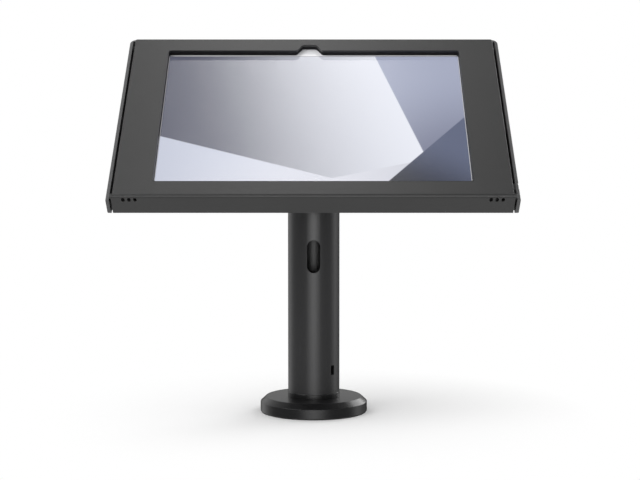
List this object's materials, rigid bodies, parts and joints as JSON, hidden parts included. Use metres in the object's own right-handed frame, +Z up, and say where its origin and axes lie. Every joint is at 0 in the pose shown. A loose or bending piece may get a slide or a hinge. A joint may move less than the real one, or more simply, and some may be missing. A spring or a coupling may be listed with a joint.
{
  "type": "tablet security kiosk stand",
  "caption": "Countertop stand that locks a tablet in a hinged metal enclosure on a swivelling, tilting and turning head over a tube and a round base.",
  "frame": {"origin": "centre of the base's cable hole on the surface the stand rests on", "axes": "+Z up along the pole, -Y towards the user whom the leaning screen faces, +X to the user's right"},
  "size_m": [0.307, 0.1444, 0.3054],
  "materials": {
    "pad_rubber": "matte",
    "base_coat": "fine satin powder coat",
    "pole_coat": "fine satin powder coat",
    "plate_coat": "satin powder coat",
    "slip_plastic": "smooth",
    "bright_steel": "zinc plated",
    "black_steel": "blackened",
    "tray_coat": "satin powder coat over sheet",
    "cover_coat": "satin powder coat over sheet",
    "pad_foam": "soft foam",
    "black_plastic": "fine texture",
    "lock_chrome": "polished",
    "shell_metal": "fine blasted",
    "battery_wrap": "film",
    "board_resin": "smooth",
    "screen_glass": "polished, dark behind the border",
    "display": "lit picture",
    "camera_lens": "polished"
  },
  "bodies": {
    "stand": {"base_pad": "pad_rubber", "base_disc": "base_coat", "base_collar": "base_coat", "pole": "pole_coat", "pole_plug": "pole_coat", "swivel_washer": "slip_plastic"},
    "head": {"head_yoke": "pole_coat", "swivel_spindle": "bright_steel", "spring_washers": "bright_steel", "swivel_nut": "bright_steel", "swivel_stop": "bright_steel", "tilt_axle": "bright_steel", "tilt_nut": "bright_steel", "friction_discs": "slip_plastic"},
    "tilt_arm": {"tilt_knuckle": "pole_coat", "turn_washer": "slip_plastic", "turn_spindle": "bright_steel", "turn_stop": "bright_steel"},
    "enclosure": {"mounting_plate": "plate_coat", "plate_screws": "black_steel", "rear_tray": "tray_coat", "hinge_pins": "black_steel", "rear_pads": "pad_foam", "corner_blocks": "black_plastic", "tablet_frame": "black_plastic", "frame_screws": "black_steel", "plug_guide": "black_plastic", "guide_rivet": "black_steel", "lock_barrel": "black_steel", "lock_nut": "black_steel", "tablet_shell": "shell_metal", "tablet_battery": "battery_wrap", "tablet_board": "board_resin", "tablet_glass": "screen_glass", "tablet_display": "display", "tablet_camera": "camera_lens"},
    "cover": {"front_cover": "cover_coat", "lock_catch": "cover_coat", "catch_screws": "black_steel"},
    "lock": {"lock_core": "lock_chrome", "lock_cam": "lock_chrome", "cam_screw": "bright_steel"},
    "power_button": {"power_key": "shell_metal"},
    "volume_button": {"volume_key": "shell_metal"}
  },
  "joints": [
    {"name": "head_swivel", "type": "hinge", "parent": "stand", "child": "head", "pos_m": [0, 0, 0.172], "axis": [0, 0, 1], "range_deg": [-170, 170]},
    {"name": "head_tilt", "type": "hinge", "parent": "head", "child": "tilt_arm", "pos_m": [0, 0, 0.203], "axis": [1, 0, 0], "range_deg": [-45, 45]},
    {"name": "screen_turn", "type": "hinge", "parent": "tilt_arm", "child": "enclosure", "pos_m": [0, 0, 0.203], "axis": [0, -0.7071, 0.7071], "range_deg": [-90, 90]},
    {"name": "cover_open", "type": "hinge", "parent": "enclosure", "child": "cover", "pos_m": [0, 0.03331, 0.2957], "axis": [-1, 0, 0], "range_deg": [0, 75]},
    {"name": "lock_turn", "type": "hinge", "parent": "enclosure", "child": "lock", "pos_m": [0.145, -0.08499, 0.18051], "axis": [-1, 0, 0], "range_deg": [0, 180]},
    {"name": "power_press", "type": "slide", "parent": "enclosure", "child": "power_button", "axis": [0, -0.7071, -0.7071], "range_m": [0, 0.00025], "stiffness_N_per_m": 1500},
    {"name": "volume_press", "type": "slide", "parent": "enclosure", "child": "volume_button", "axis": [0, -0.7071, -0.7071], "range_m": [0, 0.00025], "stiffness_N_per_m": 1500}
  ]
}
